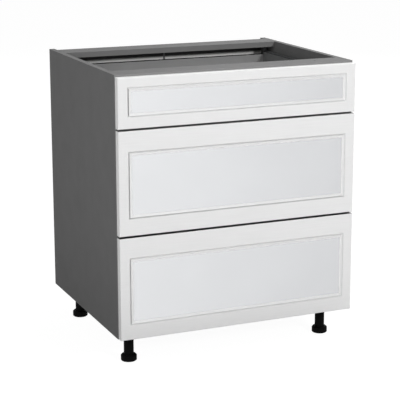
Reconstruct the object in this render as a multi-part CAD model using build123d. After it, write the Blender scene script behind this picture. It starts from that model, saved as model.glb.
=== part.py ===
"""Kitchen base cabinet with three drawers, built as separate boards, fittings, runners and drawers.

Units are millimetres. While a piece is drawn, x = 0 is the middle of the cabinet, y = 0 is the
front plane of the carcase, +Y runs to the back, and z = 0 is the underside of the carcase. Every
piece is moved at the end, so that the finished part stands on z = 0 with its origin at the middle
of its footprint.
"""

from build123d import *
import os

# ---------------------------------------------------------------- driving dimensions
# Carcase
carcase_width = 700.0
carcase_depth = 560.0
carcase_height = 716.0
board = 16.0                    # melamine-faced chipboard
board_round = 0.6               # softened arris of the edge-banded boards
front_rail_depth = 70.0
rear_rail_depth = 75.0
back_sheet = 3.0                # hardboard back
back_setback = 24.0             # service space behind the back sheet
back_groove_depth = 8.0
back_edge_gap = 0.5             # play between a back sheet's edge and the bottom of its groove
back_top_gap = 2.0              # back sheet ends this far below the carcase top
slip = 0.2                      # sliding clearance of a sheet in a groove

# Profile that joins the two halves of the back
strip_rear_flange_width = 16.0
strip_front_flange_width = 6.0  # slim cover strip on the drawer side
strip_flange = 1.0
strip_web = 1.6

# Knock-down fittings
cam_radius = 7.4
cam_depth = 12.0
cam_set_in = 34.0               # cam centre from the end of its board
cam_slot_margin = 0.5           # room round the bolt inside the cam
cam_recess_half = 4.0           # cross recess for the screwdriver
cam_recess_half_width = 1.2
cam_recess_depth = 2.0
cam_bolt_thread_radius = 2.5
cam_bolt_thread_length = 11.0
cam_bolt_shank_radius = 3.5
cam_bolt_neck_radius = 2.0
cam_bolt_neck_length = 4.0
cam_bolt_head_radius = 3.2
cam_bolt_head_length = 4.0
dowel_radius = 4.0
dowel_length = 30.0
dowel_in_side = 10.0
dowel_end_gap = 0.5
drill_clearance = 0.1           # radial, round every fitting
fitting_pitch = 32.0            # cam to dowel
bottom_fitting_set_in = 40.0    # first cam from each end of the bottom board

# Worktop screws
worktop_hole_radius = 2.5
worktop_hole_x = 250.0

# Legs
leg_height = 87.0
leg_from_side = 54.0
leg_from_front = 66.0
leg_from_back = 72.0
leg_flange_radius = 29.0
leg_flange = 4.0
leg_column_radius = 13.8
leg_rib_reach = 11.0
leg_rib_height = 22.0
leg_rib = 2.5
leg_rib_root = 1.0              # how far a gusset's root runs into the column wall
leg_screw_circle_radius = 22.0
leg_screw_radius = 2.0
leg_screw_length = 12.0
leg_screw_head_radius = 4.0
leg_screw_head = 2.5
foot_radius = 22.1
foot_height = 18.0
foot_top_chamfer = 3.0
foot_bottom_chamfer = 2.0
foot_lobes = 8
foot_scallop_radius = 5.0
foot_scallop_depth = 1.6
foot_stem_radius = 7.9
foot_stem_length = 44.0
foot_stem_play = 0.1            # radial
foot_stem_end_gap = 4.0

# Drawer fronts
front_thickness = 19.0
front_air_gap = 1.5             # kept open by the bumpers
front_side_reveal = 1.5
front_bottom_reveal = 1.5
front_top_reveal = 5.5          # carcase top above the top front
front_gap = 5.0
top_front_height = 135.0        # the two deep fronts share the height that is left
front_round = 1.6
stile_width = 26.5
shallow_top_rail = 25.5
shallow_bottom_rail = 30.0
deep_top_rail = 55.0
second_bottom_rail = 45.5
third_bottom_rail = 40.0
quirk_width = 4.0               # slanted on the frame's side, upright on the panel's side
quirk_depth = 4.0
quirk_floor = 0.4
quirk_lip = 0.6
quirk_lip_drop = 0.3
cove_width = 6.5
panel_recess = 1.2
panel_thickness = 3.0
panel_fit_gap = 0.15
bumper_radius = 4.0
bumper_thickness = 1.2
bumper_below_front_top = 25.0

# Metal drawer sides
side_sheet = 1.0
side_thickness = 12.8
side_bend = 3.5
side_skirt_lift = 6.0           # outer wall ends this far above the side's underside
side_height = 84.0
side_front_gap = 0.3
base_flange = 16.0
side_above_front_bottom = 26.0

# Drawer boards
drawer_fit_gap = 0.3
drawer_short_of_runner = 3.5    # drawer's rear face to the rear end of its cabinet channel
shallow_back_drop = 35.0        # top of a drawer's back below the top of its front
deep_back_drop = 66.0
side_hole_radius = 3.0
side_hole_pitch = 160.0

# Connectors and gallery rails
connector_depth = 16.2
connector_wall = 2.0
shallow_connector_rise = 21.5   # above the drawer back
deep_connector_rise = 18.0
connector_tab = 1.5
connector_tab_reach = 28.0
connector_tab_low = 22.0
connector_tab_high = 72.0
bracket_sheet = 1.5
bracket_low = 22.0
bracket_high = 72.0
bracket_reach = 45.0
gallery_radius = 6.0
gallery_wall = 1.0
gallery_drop = 96.0             # gallery rail's axis below the top of the front

# Runners: three nested channels
runner_set_back = 2.0
runner_to_back = 31.0           # rear end of the cabinet channel to the back sheet
runner_lift = 32.0              # runner centre above the drawer side's underside
runner_half_height = 22.5
runner_width = 12.7
cabinet_sheet = 1.5
cabinet_depth = 8.0
cabinet_lip = 5.0
middle_sheet = 1.2
middle_lip = 4.5
middle_shorter = 70.0           # middle channel against the cabinet channel
middle_set_back = 4.0
drawer_sheet = 1.4
drawer_web_half = 15.7
drawer_runner_shorter = 12.0    # drawer profile against the cabinet channel
runner_play = 0.3
runner_bend = 1.2
runner_slot_length = 40.0
runner_slot_radius = 3.0
runner_slot_count = 4
runner_screw_hole_radius = 2.5
runner_screw_hole_depth = 12.0

# ---------------------------------------------------------------- worked out from the above
half_width = carcase_width / 2
inner_half = half_width - board             # inner face of a side panel
top_board = carcase_height - board          # underside of the two rails
back_front_y = carcase_depth - back_setback - back_sheet
back_rear_y = back_front_y + back_sheet
rear_rail_y = back_front_y - rear_rail_depth
front_back_y = -front_air_gap               # rear face of the drawer fronts
front_face_y = front_back_y - front_thickness
front_half = half_width - front_side_reveal
drawer_half = inner_half - runner_width     # outer face of a drawer side
drawer_inner_half = drawer_half - side_thickness
side_front_y = front_back_y + side_front_gap
runner_length = back_front_y - runner_to_back - runner_set_back
middle_length = runner_length - middle_shorter
drawer_runner_length = runner_length - drawer_runner_shorter
drawer_rear_y = runner_set_back + runner_length - drawer_short_of_runner
base_board_length = drawer_rear_y - side_front_y
side_length = base_board_length - connector_depth - drawer_fit_gap
side_rear_y = side_front_y + side_length
deep_front_height = (carcase_height - front_bottom_reveal - front_top_reveal
                     - 2 * front_gap - top_front_height) / 2

# Each drawer, from the top: height of its front, widths of the front's top and bottom rail, drop
# of its back below the front's top, rise of the rear connectors above that back, and whether it
# carries gallery rails.
drawers = {
    1: dict(front=top_front_height, top_rail=shallow_top_rail, bottom_rail=shallow_bottom_rail,
            back_drop=shallow_back_drop, rise=shallow_connector_rise, gallery=False),
    2: dict(front=deep_front_height, top_rail=deep_top_rail, bottom_rail=second_bottom_rail,
            back_drop=deep_back_drop, rise=deep_connector_rise, gallery=True),
    3: dict(front=deep_front_height, top_rail=deep_top_rail, bottom_rail=third_bottom_rail,
            back_drop=deep_back_drop, rise=deep_connector_rise, gallery=True),
}
leg_x = half_width - leg_from_side
leg_places = {
    "front_left": (-leg_x, leg_from_front),
    "front_right": (leg_x, leg_from_front),
    "rear_left": (-leg_x, carcase_depth - leg_from_back),
    "rear_right": (leg_x, carcase_depth - leg_from_back),
}
side_signs = {"left": -1, "right": 1}
footprint_shift = -(carcase_depth + front_face_y) / 2


def front_bottom(number):
    """Height of the lower edge of a drawer front."""
    height = front_bottom_reveal
    for lower in drawers:
        if lower > number:
            height += drawers[lower]["front"] + front_gap
    return height


def side_bottom(number):
    """Height of the underside of a drawer's metal sides."""
    return front_bottom(number) + side_above_front_bottom


def back_top(number):
    """Height of the top edge of a drawer's back."""
    return front_bottom(number) + drawers[number]["front"] - drawers[number]["back_drop"]


def runner_axis(number):
    """Height of the middle of a drawer's runners."""
    return side_bottom(number) + runner_lift


def slot_centres(y0, length):
    """Places of a runner's slots, evenly spread from y0 over its length."""
    pitch = length / runner_slot_count
    return [y0 + pitch * (place + 0.5) for place in range(runner_slot_count)]


# ---------------------------------------------------------------- small helpers
def block(x0, x1, y0, y1, z0, z1):
    """A box between two corners."""
    return Pos((x0 + x1) / 2, (y0 + y1) / 2, (z0 + z1) / 2) * Box(x1 - x0, y1 - y0, z1 - z0)


def rod(radius, start, end):
    """A round bar between two points on one axis line."""
    run = Vector(*end) - Vector(*start)
    return extrude(Plane(origin=start, z_dir=run) * Circle(radius), run.length)


def mirrored(shape, side):
    """The piece as drawn for the right-hand side, or its mirror image for the left."""
    return shape if side == "right" else mirror(shape, about=Plane.YZ)


def pair(shape):
    """A right-hand piece and its left-hand mirror image, as two solids of one node."""
    return Compound([shape.solid(), mirror(shape, about=Plane.YZ).solid()])


def folded(points, sheet, bend, y0, length):
    """Sheet bent along points given as (x, z), and run from y0 towards the back."""
    path = FilletPolyline(*points, radius=bend)
    section = trace(path, line_width=sheet)
    plane = Plane(origin=(0, y0, 0), x_dir=(1, 0, 0), z_dir=(0, -1, 0))
    return extrude(plane * section, -length)


def softened(shape, axis):
    """A board with its long edges, those along one axis, slightly rounded."""
    return fillet(shape.edges().filter_by(axis), board_round)


# ---------------------------------------------------------------- knock-down fittings
def fitting_rows():
    """Each board's fittings: its name, the height of its axis line, cam y and dowel y."""
    axis_low, axis_high = board / 2, carcase_height - board / 2
    front_mid = front_rail_depth / 2
    rear_mid = rear_rail_y + rear_rail_depth / 2
    half_pitch = fitting_pitch / 2
    rear_cam = carcase_depth - back_setback - bottom_fitting_set_in
    return [
        ("bottom", axis_low, bottom_fitting_set_in, bottom_fitting_set_in + fitting_pitch),
        ("bottom", axis_low, rear_cam, rear_cam - fitting_pitch),
        ("front_rail", axis_high, front_mid - half_pitch, front_mid + half_pitch),
        ("rear_rail", axis_high, rear_mid + half_pitch, rear_mid - half_pitch),
    ]


def cam_bolt(y, z):
    """Bolt that is screwed into the right side panel and pulled by a cam."""
    cam_x = inner_half - cam_set_in
    head_end = cam_x + cam_bolt_head_length / 2
    neck_end = head_end + cam_bolt_neck_length
    bolt = rod(cam_bolt_thread_radius, (inner_half, y, z), (inner_half + cam_bolt_thread_length, y, z))
    bolt += rod(cam_bolt_shank_radius, (neck_end, y, z), (inner_half, y, z))
    bolt += rod(cam_bolt_neck_radius, (head_end, y, z), (neck_end, y, z))
    return bolt + rod(cam_bolt_head_radius, (head_end - cam_bolt_head_length, y, z), (head_end, y, z))


def cam_housing(y, z, underside):
    """Turned cam in the underside of a board, with its mouth open to the bolt and a cross recess."""
    cam_x = inner_half - cam_set_in
    cam = rod(cam_radius, (cam_x, y, underside), (cam_x, y, underside + cam_depth))
    head_room = cam_bolt_head_radius + cam_slot_margin
    neck_room = cam_bolt_neck_radius + cam_slot_margin
    head_half = cam_bolt_head_length / 2 + cam_slot_margin
    cam -= rod(head_room, (cam_x - head_half, y, z), (cam_x + head_half, y, z))
    cam -= rod(neck_room, (cam_x, y, z), (cam_x + cam_radius, y, z))
    shank_start = cam_x + cam_bolt_head_length / 2 + cam_bolt_neck_length - cam_slot_margin
    cam -= rod(cam_bolt_shank_radius + cam_slot_margin, (shank_start, y, z), (cam_x + cam_radius, y, z))
    cross = ((cam_recess_half, cam_recess_half_width), (cam_recess_half_width, cam_recess_half))
    for reach_x, reach_y in cross:
        cam -= block(cam_x - reach_x, cam_x + reach_x, y - reach_y, y + reach_y,
                     underside, underside + cam_recess_depth)
    return cam


def dowel(y, z):
    """Beech dowel between a side panel and the end of a board."""
    start = inner_half + dowel_in_side - dowel_length
    return rod(dowel_radius, (start, y, z), (inner_half + dowel_in_side, y, z))


def drill_board_end(shape, y_cam, y_dowel, z, underside):
    """Bores in the right-hand end of a board for its cam, cam bolt and dowel."""
    cam_x = inner_half - cam_set_in
    shape -= rod(cam_radius + drill_clearance, (cam_x, y_cam, underside),
                 (cam_x, y_cam, underside + cam_depth + drill_clearance))
    shape -= rod(cam_bolt_shank_radius + cam_slot_margin, (cam_x, y_cam, z), (inner_half, y_cam, z))
    deep = dowel_length - dowel_in_side + dowel_end_gap
    return shape - rod(dowel_radius + drill_clearance, (inner_half - deep, y_dowel, z),
                       (inner_half, y_dowel, z))


def drill_both_ends(shape, name):
    """The same bores in both ends of a board."""
    for board_name, z, y_cam, y_dowel in fitting_rows():
        if board_name == name:
            underside = z - board / 2
            for _ in side_signs:
                shape = drill_board_end(shape, y_cam, y_dowel, z, underside)
                shape = mirror(shape, about=Plane.YZ)
    return shape


def fittings():
    """All cams, cam bolts and dowels, each kind as one group."""
    cams, bolts, dowels = [], [], []
    for _, z, y_cam, y_dowel in fitting_rows():
        for side in side_signs:
            cams.append(mirrored(cam_housing(y_cam, z, z - board / 2), side).solid())
            bolts.append(mirrored(cam_bolt(y_cam, z), side).solid())
            dowels.append(mirrored(dowel(y_dowel, z), side).solid())
    return {"cam_housings": Compound(cams), "cam_bolts": Compound(bolts), "dowels": Compound(dowels)}


# ---------------------------------------------------------------- carcase
def side_panel(side):
    """Full-height side board, grooved for the back and drilled for bolts and dowels."""
    panel = block(inner_half, half_width, 0, carcase_depth, 0, carcase_height)
    panel = fillet(panel.edges(), board_round)
    panel -= block(inner_half, inner_half + back_groove_depth,
                   back_front_y - slip, back_rear_y + slip, 0, carcase_height)
    for _, z, y_cam, y_dowel in fitting_rows():
        bolt_room = cam_bolt_thread_length + dowel_end_gap
        panel -= rod(cam_bolt_thread_radius + drill_clearance, (inner_half, y_cam, z),
                     (inner_half + bolt_room, y_cam, z))
        dowel_room = dowel_in_side + dowel_end_gap
        panel -= rod(dowel_radius + drill_clearance, (inner_half, y_dowel, z),
                     (inner_half + dowel_room, y_dowel, z))
    for number in drawers:
        for y in slot_centres(runner_set_back, runner_length):
            z = runner_axis(number)
            panel -= rod(runner_screw_hole_radius, (inner_half, y, z),
                         (inner_half + runner_screw_hole_depth, y, z))
    return mirrored(panel, side)


def bottom_panel():
    """Bottom board between the sides, with the back groove in its top and leg screw holes below."""
    panel = softened(block(-inner_half, inner_half, 0, carcase_depth, 0, board), Axis.X)
    panel -= block(-inner_half, inner_half, back_front_y - slip, back_rear_y + slip,
                   board - back_groove_depth, board)
    panel = drill_both_ends(panel, "bottom")
    for x, y in leg_screw_places():
        panel -= rod(leg_screw_radius + drill_clearance, (x, y, 0), (x, y, leg_screw_length))
    return panel


def rail(name, y0, depth):
    """Flat rail under the worktop, with holes for the worktop screws."""
    shape = softened(block(-inner_half, inner_half, y0, y0 + depth, top_board, carcase_height), Axis.X)
    middle = y0 + depth / 2
    for sign in side_signs.values():
        x = sign * worktop_hole_x
        shape -= rod(worktop_hole_radius, (x, middle, top_board), (x, middle, carcase_height))
    return drill_both_ends(shape, name)


def back_panel(side):
    """Half of the hardboard back, held in the grooves and in the middle strip."""
    outer = inner_half + back_groove_depth - back_edge_gap
    inner = strip_web / 2 + slip
    low = board - back_groove_depth + back_edge_gap
    sheet = block(inner, outer, back_front_y, back_rear_y, low, carcase_height - back_top_gap)
    return mirrored(sheet, side)


def back_strip():
    """H-shaped strip that joins the two back sheets."""
    front_half_width, rear_half_width = strip_front_flange_width / 2, strip_rear_flange_width / 2
    web = strip_web / 2
    low, high = board + slip, top_board - slip
    front, rear = back_front_y - slip, back_rear_y + slip
    strip = block(-web, web, front - strip_flange, rear + strip_flange, low, high)
    strip += block(-front_half_width, front_half_width, front - strip_flange, front, low, high)
    return strip + block(-rear_half_width, rear_half_width, rear, rear + strip_flange, low, high)


def bumpers():
    """Soft pads on the carcase's front edges, one behind each upper corner of a front."""
    pads = []
    for number in drawers:
        z = front_bottom(number) + drawers[number]["front"] - bumper_below_front_top
        for sign in side_signs.values():
            x = sign * (half_width - board / 2)
            pads.append(rod(bumper_radius, (x, 0, z), (x, -bumper_thickness, z)).solid())
    return Compound(pads)


# ---------------------------------------------------------------- legs
def leg_screw_places():
    """Centres of the four screws of each leg."""
    places = []
    for x, y in leg_places.values():
        for spot in PolarLocations(leg_screw_circle_radius, 4, 45):
            places.append((x + spot.position.X, y + spot.position.Y))
    return places


def leg(x, y):
    """Moulded leg: screw flange, four gussets and a hollow column for the foot's stem."""
    column_end = -(leg_height - foot_height)
    outline = Polyline(
        (0, 0), (leg_flange_radius, 0), (leg_flange_radius, -leg_flange),
        (leg_column_radius, -leg_flange), (leg_column_radius, column_end), (0, column_end), (0, 0),
    )
    shape = revolve(Plane.XZ * make_face(outline), Axis.Z)
    rib_root, rib_foot = leg_column_radius - leg_rib_root, -leg_flange - leg_rib_height
    rib_outline = Polyline(
        (rib_root, -leg_flange), (leg_column_radius + leg_rib_reach, -leg_flange),
        (leg_column_radius, rib_foot), (rib_root, rib_foot), (rib_root, -leg_flange),
    )
    rib = extrude(Plane.XZ * make_face(rib_outline), leg_rib / 2, both=True)
    for turn in range(4):
        shape += Rot(0, 0, 90 * turn) * rib
    bore_top = foot_top_z() + foot_stem_length + foot_stem_end_gap
    shape -= rod(foot_stem_radius + foot_stem_play, (0, 0, column_end), (0, 0, bore_top))
    for spot in PolarLocations(leg_screw_circle_radius, 4, 45):
        px, py = spot.position.X, spot.position.Y
        shape -= rod(leg_screw_radius + drill_clearance, (px, py, 0), (px, py, -leg_flange))
    return Pos(x, y, 0) * shape


def leg_screws():
    """Pan-head screws that hold the legs to the bottom board."""
    screws = []
    for x, y in leg_screw_places():
        screw = rod(leg_screw_radius, (x, y, -leg_flange), (x, y, leg_screw_length - dowel_end_gap))
        screw += rod(leg_screw_head_radius, (x, y, -leg_flange - leg_screw_head), (x, y, -leg_flange))
        screws.append(screw.solid())
    return Compound(screws)


def foot_top_z():
    """Height of the top face of a foot that is screwed right in."""
    return foot_height - leg_height


def foot(x, y):
    """Adjusting foot: scalloped, chamfered disc with a stem that runs up inside the column."""
    floor_z, top_z = -leg_height, foot_top_z()
    outline = Polyline(
        (0, floor_z), (foot_radius - foot_bottom_chamfer, floor_z),
        (foot_radius, floor_z + foot_bottom_chamfer), (foot_radius, top_z - foot_top_chamfer),
        (foot_radius - foot_top_chamfer, top_z), (foot_stem_radius, top_z),
        (foot_stem_radius, top_z + foot_stem_length), (0, top_z + foot_stem_length), (0, floor_z),
    )
    shape = revolve(Plane.XZ * make_face(outline), Axis.Z)
    scallop_centre = foot_radius + foot_scallop_radius - foot_scallop_depth
    for spot in PolarLocations(scallop_centre, foot_lobes):
        px, py = spot.position.X, spot.position.Y
        shape -= rod(foot_scallop_radius, (px, py, floor_z + foot_bottom_chamfer), (px, py, top_z))
    return Pos(x, y, 0) * shape


# ---------------------------------------------------------------- drawer fronts
def opening_corners(number):
    """Half width, bottom and top of the line where a front's frame meets its moulding."""
    low = front_bottom(number) + drawers[number]["bottom_rail"]
    high = front_bottom(number) + drawers[number]["front"] - drawers[number]["top_rail"]
    return front_half - stile_width, low, high


def moulding_cutter(number):
    """Slanted quirk and shallow cove, swept round the opening with mitred corners."""
    half, low, high = opening_corners(number)
    face = front_face_y
    path = Polyline((0, face, low), (half, face, low), (half, face, high), (-half, face, high),
                    (-half, face, low), (0, face, low))
    lip = quirk_width + quirk_lip
    cove_end = lip + cove_width
    edge = Polyline((lip, -quirk_lip_drop), (quirk_width, -quirk_lip_drop), (quirk_width, -quirk_depth),
                    (quirk_width - quirk_floor, -quirk_depth), (0, 0), (0, 1), (cove_end, 1),
                    (cove_end, -panel_recess))
    cove = TangentArc((cove_end, -panel_recess), (lip, -quirk_lip_drop), tangent=(-1, 0))
    plane = Plane(origin=(0, face, low), x_dir=(0, 0, 1), z_dir=(1, 0, 0))
    return sweep(plane * make_face([edge, cove]), path=path, transition=Transition.RIGHT)


def centre_bounds(number):
    """Half width, bottom and top of the flat field inside the moulding."""
    half, low, high = opening_corners(number)
    inset = quirk_width + quirk_lip + cove_width
    return half - inset, low + inset, high - inset


def front_board(number):
    """Drawer front with rounded face edges, a quirked moulding and a shallow pocket for its panel."""
    low = front_bottom(number)
    high = low + drawers[number]["front"]
    shape = block(-front_half, front_half, front_face_y, front_back_y, low, high)
    shape = fillet(shape.faces().sort_by(Axis.Y)[0].edges(), front_round)
    shape -= moulding_cutter(number)
    half, field_low, field_high = centre_bounds(number)
    return shape - block(-half, half, front_face_y, front_face_y + panel_recess + panel_thickness,
                         field_low, field_high)


def centre_panel(number):
    """Thin facing panel bonded in the pocket of a front."""
    half, low, high = centre_bounds(number)
    y0 = front_face_y + panel_recess
    return block(-half + panel_fit_gap, half - panel_fit_gap, y0, y0 + panel_thickness,
                 low + panel_fit_gap, high - panel_fit_gap)


# ---------------------------------------------------------------- drawer boxes
def drawer_side(number, side):
    """Double-walled side folded from one sheet, with a skirt outside and a base flange inside."""
    outer = drawer_half - side_sheet / 2
    inner = drawer_inner_half + side_sheet / 2
    low = side_bottom(number)
    top = low + side_height - side_sheet / 2
    points = [(outer, low + side_skirt_lift), (outer, top), (inner, top), (inner, low + side_sheet / 2),
              (drawer_inner_half - base_flange, low + side_sheet / 2)]
    bends = [side_bend, side_bend, side_sheet]
    shape = folded(points, side_sheet, bends, side_front_y, side_length)
    count = int(side_length // side_hole_pitch)
    for place in range(count):
        y = side_front_y + side_length / 2 + (place - (count - 1) / 2) * side_hole_pitch
        x = drawer_inner_half - base_flange / 2
        shape -= rod(side_hole_radius, (x, y, low), (x, y, low + side_sheet))
    return mirrored(shape, side)


def drawer_base(number):
    """Chipboard base resting on the flanges of both sides."""
    half = drawer_inner_half - drawer_fit_gap
    low = side_bottom(number) + side_sheet
    shape = block(-half, half, side_front_y, side_front_y + base_board_length, low, low + board)
    return softened(shape, Axis.Y)


def drawer_back(number):
    """Chipboard back standing on the base between the connectors."""
    half = drawer_inner_half - drawer_fit_gap
    low = side_bottom(number) + side_sheet + board
    shape = block(-half, half, drawer_rear_y - board, drawer_rear_y, low, back_top(number))
    return softened(shape, Axis.X)


def rear_connectors(number):
    """Upright connectors that close the sides and clasp the ends of the back."""
    rear = drawer_rear_y
    front = side_rear_y + drawer_fit_gap
    low = side_bottom(number)
    top = back_top(number) + drawers[number]["rise"]
    x0, x1 = drawer_inner_half, drawer_half - slip
    shape = block(x0, x1, front, rear, low, top)
    shape = fillet(shape.edges().filter_by(Axis.Y).group_by(Axis.Z)[-1], side_bend)
    shape -= block(x0 + connector_wall, x1 - connector_wall, front + connector_wall, rear,
                   low + connector_wall, top - connector_wall - side_bend)
    shape += block(x0 - connector_tab_reach, x1, rear, rear + connector_tab,
                   low + connector_tab_low, low + connector_tab_high)
    return pair(shape)


def front_brackets(number):
    """Angle brackets screwed behind the front, with a tongue inside each hollow side."""
    low = side_bottom(number)
    wall = drawer_inner_half + side_sheet + drawer_fit_gap
    far = drawer_half - side_sheet - drawer_fit_gap
    shape = block(wall, far, front_back_y, front_back_y + bracket_sheet, low + bracket_low, low + bracket_high)
    shape += block(wall, wall + bracket_sheet, front_back_y, front_back_y + bracket_reach,
                   low + bracket_low, low + bracket_high)
    return pair(shape)


def gallery_rails(number):
    """Round tubes above the sides of a deep drawer, from the front to the rear connectors."""
    x = drawer_half - side_thickness / 2
    z = front_bottom(number) + drawers[number]["front"] - gallery_drop
    start, end = (x, side_front_y, z), (x, side_rear_y, z)
    return pair(rod(gallery_radius, start, end) - rod(gallery_radius - gallery_wall, start, end))


# ---------------------------------------------------------------- runners
def slotted(shape, x0, x1, y0, length, z):
    """A channel with a row of long slots punched through its web."""
    for y in slot_centres(y0, length):
        half = runner_slot_length / 2 - runner_slot_radius
        slot = block(x0, x1, y - half, y + half, z - runner_slot_radius, z + runner_slot_radius)
        for end in (y - half, y + half):
            slot += rod(runner_slot_radius, (x0, end, z), (x1, end, z))
        shape -= slot
    return shape


def runner_cabinet(number):
    """Outer channels, fixed to the side panels and open towards the drawer."""
    z, t = runner_axis(number), cabinet_sheet
    web, lip = inner_half - t / 2, inner_half - cabinet_depth + t / 2
    high = runner_half_height - t / 2
    lip_end = runner_half_height - cabinet_lip
    points = [(lip, z + lip_end), (lip, z + high), (web, z + high), (web, z - high),
              (lip, z - high), (lip, z - lip_end)]
    shape = folded(points, t, runner_bend + t / 2, runner_set_back, runner_length)
    return pair(slotted(shape, inner_half - t, inner_half, runner_set_back, runner_length, z))


def runner_middle(number, side):
    """Middle channel, nested in the cabinet channel."""
    z, t = runner_axis(number), middle_sheet
    web = inner_half - cabinet_sheet - runner_play - t / 2
    lip = inner_half - cabinet_depth + cabinet_sheet + runner_play + t / 2
    high = runner_half_height - cabinet_sheet - runner_play - t / 2
    lip_end = high + t / 2 - middle_lip
    points = [(lip, z + lip_end), (lip, z + high), (web, z + high), (web, z - high),
              (lip, z - high), (lip, z - lip_end)]
    shape = folded(points, t, runner_bend, middle_set_back, middle_length)
    return mirrored(slotted(shape, web - t / 2, web + t / 2, middle_set_back, middle_length, z), side)


def runner_drawer(number):
    """Inner hat-shaped profiles, fixed to the drawer sides and held behind the middle lips."""
    z, t = runner_axis(number), drawer_sheet
    brim = inner_half - cabinet_sheet - middle_sheet - 2 * runner_play - t / 2
    crown = drawer_half + t / 2
    leg_z = drawer_web_half - t / 2
    brim_end = runner_half_height - cabinet_sheet - middle_sheet - 2 * runner_play
    points = [(brim, z + brim_end), (brim, z + leg_z), (crown, z + leg_z), (crown, z - leg_z),
              (brim, z - leg_z), (brim, z - brim_end)]
    shape = folded(points, t, runner_bend, runner_set_back, drawer_runner_length)
    return pair(slotted(shape, drawer_half, drawer_half + t, runner_set_back, drawer_runner_length, z))


# ---------------------------------------------------------------- assembly
def build():
    """Every node of the part, by name."""
    nodes = {
        "bottom_panel": bottom_panel(),
        "front_rail": rail("front_rail", 0, front_rail_depth),
        "rear_rail": rail("rear_rail", rear_rail_y, rear_rail_depth),
        "back_strip": back_strip(),
        "bumpers": bumpers(),
        "leg_screws": leg_screws(),
    }
    nodes.update(fittings())
    for side in side_signs:
        nodes[f"side_panel_{side}"] = side_panel(side)
        nodes[f"back_panel_{side}"] = back_panel(side)
    for place, (x, y) in leg_places.items():
        nodes[f"leg_{place}"] = leg(x, y)
        nodes[f"foot_{place}"] = foot(x, y)
    for number, drawer in drawers.items():
        nodes[f"front_board_{number}"] = front_board(number)
        nodes[f"centre_panel_{number}"] = centre_panel(number)
        nodes[f"drawer_base_{number}"] = drawer_base(number)
        nodes[f"drawer_back_{number}"] = drawer_back(number)
        nodes[f"rear_connectors_{number}"] = rear_connectors(number)
        nodes[f"front_brackets_{number}"] = front_brackets(number)
        nodes[f"runner_cabinet_{number}"] = runner_cabinet(number)
        nodes[f"runner_drawer_{number}"] = runner_drawer(number)
        for side in side_signs:
            nodes[f"drawer_side_{number}_{side}"] = drawer_side(number, side)
            nodes[f"runner_middle_{number}_{side}"] = runner_middle(number, side)
        if drawer["gallery"]:
            nodes[f"gallery_rails_{number}"] = gallery_rails(number)
    return nodes


os.makedirs("parts", exist_ok=True)
for node, shape in build().items():
    export_step(Pos(0, footprint_shift, leg_height) * shape, f"parts/{node}.step")
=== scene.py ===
"""Base cabinet with three drawers: finishes for its boards, fronts, metal and plastic, its small
screws and caps, and a plain pale studio. Lengths are metres unless a name says mm."""

import math

import bmesh
import bpy
from bpy.props import FloatProperty, FloatVectorProperty, IntProperty, PointerProperty
from mathutils import Matrix, Vector


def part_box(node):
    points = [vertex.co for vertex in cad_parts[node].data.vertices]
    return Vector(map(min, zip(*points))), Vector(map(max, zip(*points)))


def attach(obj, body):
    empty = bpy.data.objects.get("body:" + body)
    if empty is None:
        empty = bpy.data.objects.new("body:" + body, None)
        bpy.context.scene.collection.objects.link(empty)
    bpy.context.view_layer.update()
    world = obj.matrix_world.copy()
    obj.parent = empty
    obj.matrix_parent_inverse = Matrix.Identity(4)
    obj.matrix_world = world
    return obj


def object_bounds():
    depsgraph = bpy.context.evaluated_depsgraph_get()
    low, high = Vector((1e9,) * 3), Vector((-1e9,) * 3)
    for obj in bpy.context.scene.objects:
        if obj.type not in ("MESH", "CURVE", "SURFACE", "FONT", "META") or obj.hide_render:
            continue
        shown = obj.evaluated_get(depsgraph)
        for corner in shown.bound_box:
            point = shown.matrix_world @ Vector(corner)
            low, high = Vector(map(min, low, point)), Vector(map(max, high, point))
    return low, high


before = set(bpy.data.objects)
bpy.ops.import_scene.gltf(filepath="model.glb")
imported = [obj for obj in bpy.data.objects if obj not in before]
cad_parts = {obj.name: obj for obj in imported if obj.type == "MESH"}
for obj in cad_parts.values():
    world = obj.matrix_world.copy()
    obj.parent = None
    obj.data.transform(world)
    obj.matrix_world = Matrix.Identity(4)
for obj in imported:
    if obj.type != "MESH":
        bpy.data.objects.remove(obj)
cad_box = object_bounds()

bl_info = {
    "name": "Base cabinet with drawers",
    "version": (1, 0, 0),
    "blender": (4, 5, 0),
    "location": "View3D > Sidebar > Cabinet",
    "description": "Finishes, small hardware and studio for a kitchen base cabinet",
    "category": "Object",
}

MM = 0.001
DRAWERS = (1, 2, 3)
SIDES = ("left", "right")
CORNERS = ("front_left", "front_right", "rear_left", "rear_right")
# Past every place on the cabinet, and past every part of a direction.
PAST = 2.0
# Noise seldom goes past these.
NOISE = (0.3, 0.7)
# How much of its tone the foil keeps in the moulding of each front, as painted shade and light:
# on the ledge under the field, on the cove above and the one below the field, and on the quirk's
# steps that face left and up.
LEDGE_SHADE = {1: 0.85, 2: 0.66, 3: 0.80}
COVE_LIGHT_AND_SHADE = {1: (1.0, 0.9), 2: (1.04, 0.96), 3: (1.05, 1.0)}
STEP_SHADE = {1: (0.4, 1.0), 2: (0.5, 0.72), 3: (0.6, 0.9)}


# ---------------------------------------------------------------- colour and node helpers
def linear(code):
    """Linear red, green and blue of an sRGB hex colour."""
    parts = [int(code[i:i + 2], 16) / 255 for i in (1, 3, 5)]
    return tuple(c / 12.92 if c <= 0.04045 else ((c + 0.055) / 1.055) ** 2.4 for c in parts)


def add(tree, kind, values=None, **settings):
    """Adds a node with its settings. A value is a number for a socket, or what feeds it."""
    new = tree.nodes.new(kind)
    for name, setting in settings.items():
        setattr(new, name, setting)
    for name, value in (values or {}).items():
        if isinstance(value, bpy.types.NodeSocket):
            tree.links.new(value, new.inputs[name])
        else:
            new.inputs[name].default_value = value
    return new


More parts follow.
